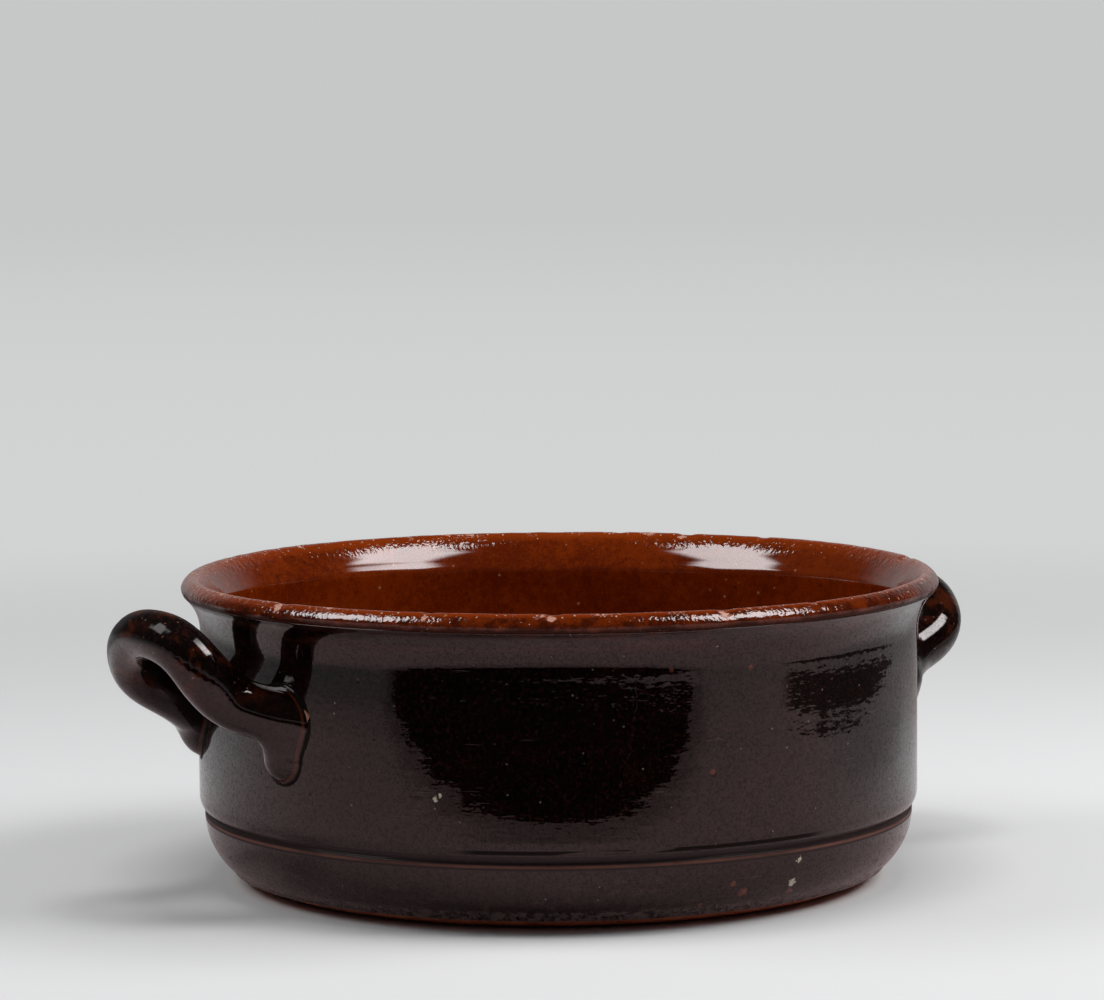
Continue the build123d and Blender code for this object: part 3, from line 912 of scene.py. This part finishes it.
def studio_world():
    """Soft grey surroundings: pale behind the pot, dim in front of it and overhead for the glaze's gloss."""
    world = bpy.data.worlds.new("studio_world")
    bpy.context.scene.world = world
    world.use_nodes = True
    world.node_tree.nodes.clear()
    start = Sock(world.node_tree)
    output = world.node_tree.nodes.new("ShaderNodeOutputWorld")
    heading = start.node("ShaderNodeTexCoord", out=0)
    behind = heading.vector("DOT_PRODUCT", tuple(stage_place(0, 1, 0)), out=1).step(0.60, 0.86)
    low = heading.part(2).step(0.75, 0.25)
    gloss = (behind * low).paint((0.36, 0.365, 0.365, 1.0), (0.030, 0.028, 0.028, 1.0))
    seen = start.node("ShaderNodeLightPath", out=0)
    glossy = start.node("ShaderNodeLightPath", out=3)
    above = heading.part(2).step(0.1, 0.7).paint((0.15, 0.153, 0.156, 1.0), (0.008, 0.008, 0.008, 1.0))
    colour = glossy.paint(gloss, above)
    colour = seen.paint(BACKDROP_FAR, colour)
    sky = start.node("ShaderNodeBackground", None, {"Color": colour, "Strength": 1.0})
    world.node_tree.links.new(sky.socket, output.inputs["Surface"])


def aimed(turn, rise, distance):
    """Place and axes of a panel aimed at the rim: turn in degrees right of the camera, rise above the rim."""
    angle, climb = np.radians((turn, rise))
    back = stage_place(np.sin(angle) * np.cos(climb), -np.cos(angle) * np.cos(climb), np.sin(climb))
    across = np.cross((0.0, 0.0, 1.0), back)
    across /= np.linalg.norm(across)
    return back * distance + np.array((0.0, 0.0, 0.09)), across, np.cross(back, across), back


def soft_lamp(name, turn, rise, distance, wide, tall, radiance):
    """Area lamp that lights the matt side of things; the gloss is left to the cards."""
    place, across, over, back = aimed(turn, rise, distance)
    lamp = bpy.data.lights.new(name, "AREA")
    lamp.shape = "RECTANGLE"
    lamp.size, lamp.size_y = wide, tall
    lamp.energy = radiance * np.pi * wide * tall
    holder = bpy.data.objects.new(name, lamp)
    bpy.context.scene.collection.objects.link(holder)
    rows = [[across[i], over[i], back[i], place[i]] for i in range(3)]
    holder.matrix_world = Matrix(rows + [[0.0, 0.0, 0.0, 1.0]])
    holder.visible_glossy = False


def gloss_card(name, turn, rise, distance, wide, tall, radiance):
    """Glowing panel that only the gloss shows: the face of a soft box."""
    place, across, over, _ = aimed(turn, rise, distance)
    signs = ((-1, -1), (1, -1), (1, 1), (-1, 1))
    corners = [place + across * wide / 2 * a + over * tall / 2 * b for a, b in signs]
    mesh = bpy.data.meshes.new(name)
    mesh.from_pydata([tuple(corner) for corner in corners], [], [(0, 1, 2, 3)])
    card = bpy.data.objects.new(name, mesh)
    bpy.context.scene.collection.objects.link(card)
    material, start, output = finish_tree(name)
    spot = start.node("ShaderNodeTexCoord", out=3)
    lit = 1.0
    for axis, half in ((across, wide / 2), (over, tall / 2)):
        off = spot.vector("DOT_PRODUCT", tuple(axis / half), out=1) - float(place @ axis / half)
        lit = off.size().step(1.0, 0.62) * lit
    colour = lit.paint((1.0, 0.985, 0.99, 1.0), (0.0, 0.0, 0.0, 1.0))
    glow = start.node("ShaderNodeEmission", None, {"Color": colour, "Strength": radiance})
    start.tree.links.new(glow.socket, output.inputs["Surface"])
    mesh.materials.append(material)
    card.visible_camera = card.visible_diffuse = card.visible_shadow = card.visible_transmission = False


def photograph_camera():
    """The camera of the photograph, aimed by its own axes."""
    data = bpy.data.cameras.new("photograph_camera")
    data.sensor_fit = "HORIZONTAL"
    data.sensor_width = 36.0
    data.lens = 36.0 * FOCAL / IMAGE_W
    data.clip_start, data.clip_end = 0.05, 200.0
    holder = bpy.data.objects.new("photograph_camera", data)
    bpy.context.scene.collection.objects.link(holder)
    right, up, forward = CAMERA_AXES
    rows = [[right[i], up[i], -forward[i], EYE[i] * MM] for i in range(3)]
    holder.matrix_world = Matrix(rows + [[0.0, 0.0, 0.0, 1.0]])
    bpy.context.scene.camera = holder


def settle(piece, material, slot, *nodes):
    """Gives a piece its finish and its body, and hides the solids that it stands for. The slot is not used.
    """
    piece.data.materials.append(material)
    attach(piece, "root")
    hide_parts(*nodes)


dark = dark_finish("dark_glaze", False)
handle_dark = dark_finish("handle_dark_glaze", True)
honey = honey_finish()
clay = clay_finish("bare_clay", (0.50, 0.125, 0.054, 1.0), (0.27, 0.060, 0.024, 1.0))
slip = clay_finish("luting_slip", (0.36, 0.15, 0.09, 1.0), (0.20, 0.08, 0.05, 1.0))

left_line, right_line = coil_line(False), coil_line(True)
settle(clay_bowl(), clay, "terracotta", "clay_body")
settle(honey_shell(), honey, "honey_glaze", "inner_glaze")
settle(outer_shell(), dark, "dark_glaze", "outer_glaze")
for side, line, seed in (("left", left_line, 31), ("right", right_line, 37)):
    settle(handle_coat(f"{side}_handle_coat", line, seed), handle_dark, "dark_glaze", f"{side}_handle_glaze")
    settle(coil(f"{side}_coil", line, CORE_UNDER), clay, "terracotta", f"{side}_handle")
for node in ("left_front_slip", "left_back_slip", "right_front_slip", "right_back_slip"):
    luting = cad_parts[node]
    luting.data.materials.clear()
    luting.data.materials.append(slip)

studio_floor()
studio_world()
soft_lamp("right_lamp", 86, 42, 1.3, 0.8, 0.6, 7.2)
soft_lamp("left_lamp", -88, 42, 1.3, 0.8, 0.6, 3.6)
soft_lamp("top_lamp", 8, 84, 1.5, 0.7, 0.5, 7.2)
gloss_card("right_softbox", 75, 50, 1.3, 0.80, 0.74, 12.5)
gloss_card("left_softbox", -80, 45, 1.3, 0.74, 0.78, 11.0)
photograph_camera()
bpy.context.scene.view_settings.view_transform = "Standard"
